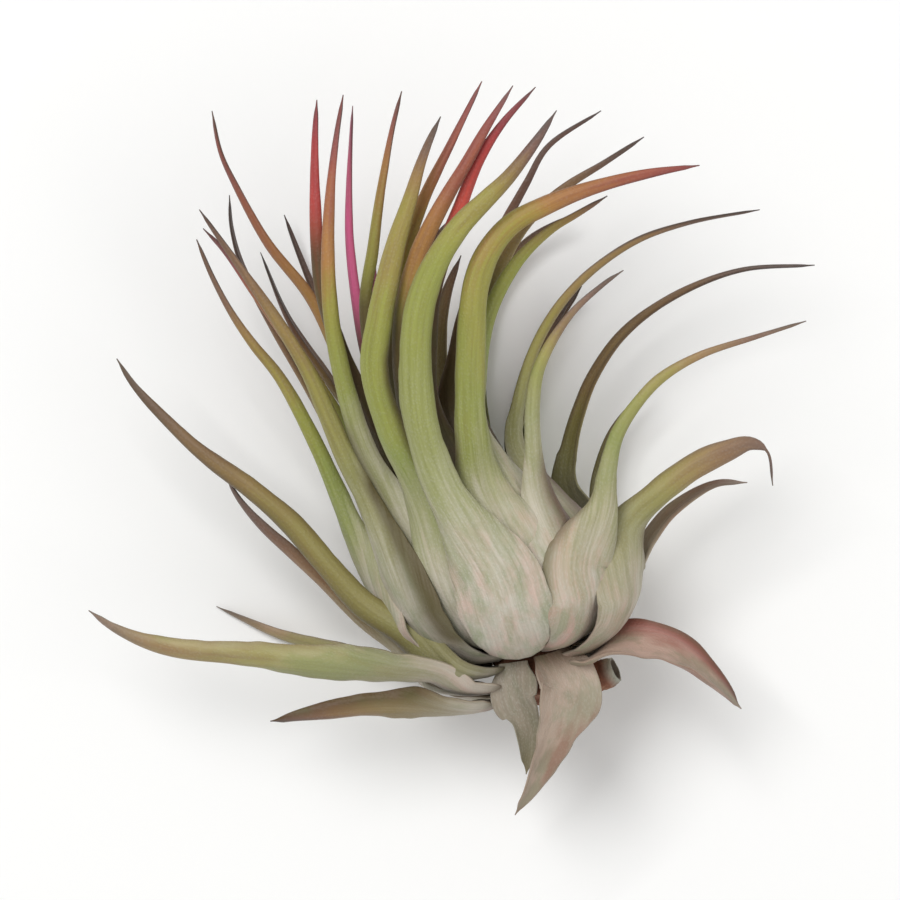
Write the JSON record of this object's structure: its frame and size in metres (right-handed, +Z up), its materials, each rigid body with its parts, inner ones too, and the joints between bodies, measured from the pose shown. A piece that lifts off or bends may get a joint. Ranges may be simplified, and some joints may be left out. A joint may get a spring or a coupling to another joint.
{
  "type": "air plant",
  "caption": "Small bulb-based air plant lying on its side, with silvery green channelled leaves that narrow to red and orange thread-like tips.",
  "frame": {"origin": "centre of the plant's bounding box, on the surface that the plant lies on", "axes": "+Z up from the surface, +Y the way the leaf tips point, +X to the right when seen from above with the tips up"},
  "size_m": [0.0718, 0.0722, 0.0328],
  "materials": {
    "silver_green_leaf": "matte green under silvery scales",
    "green_leaf": "matte green with a silvery base",
    "olive_leaf": "matte olive with a silvery base",
    "orange_leaf": "matte orange-brown with a silvery base",
    "red_leaf": "matte red",
    "pink_leaf": "matte pink",
    "brown_leaf": "matte dry brown",
    "grey_stem": "dry grey bark"
  },
  "bodies": {
    "root": {"stem": "grey_stem", "leaf_front_centre": "silver_green_leaf", "leaf_right_outer": "green_leaf", "leaf_right_hooked": "olive_leaf", "leaf_left_outer": "olive_leaf", "leaf_left_edge": "green_leaf", "leaf_right_low": "brown_leaf", "leaf_front_left": "green_leaf", "leaf_right_inner": "silver_green_leaf", "leaf_right_back": "olive_leaf", "leaf_left_twin": "orange_leaf", "leaf_front_right": "orange_leaf", "leaf_right_middle": "olive_leaf", "leaf_left_middle": "orange_leaf", "leaf_inner_orange": "orange_leaf", "leaf_left_far": "orange_leaf", "leaf_inner_green": "green_leaf", "leaf_inner_brown": "orange_leaf", "leaf_inner_red": "red_leaf", "leaf_inner_thin": "olive_leaf", "leaf_inner_olive": "orange_leaf", "leaf_inner_bright": "red_leaf", "leaf_inner_pink": "pink_leaf", "leaf_inner_dark": "brown_leaf", "leaf_back_edge": "olive_leaf", "leaf_back_right": "green_leaf", "leaf_back_centre": "green_leaf", "leaf_back_left": "green_leaf", "leaf_left_back": "brown_leaf", "leaf_left_thin": "brown_leaf", "leaf_back_inner": "olive_leaf", "leaf_back_upper": "olive_leaf", "leaf_back_narrow": "olive_leaf", "leaf_left_short": "brown_leaf", "leaf_heart_back": "pink_leaf", "leaf_heart_right": "pink_leaf", "leaf_heart_left": "pink_leaf", "leaf_heart_centre": "pink_leaf", "leaf_old_upper": "olive_leaf", "leaf_old_brown": "brown_leaf", "leaf_old_down": "brown_leaf", "leaf_old_stub": "olive_leaf", "leaf_old_long": "green_leaf", "leaf_old_middle": "olive_leaf", "leaf_old_low": "brown_leaf", "leaf_old_red": "red_leaf"}
  },
  "joints": []
}
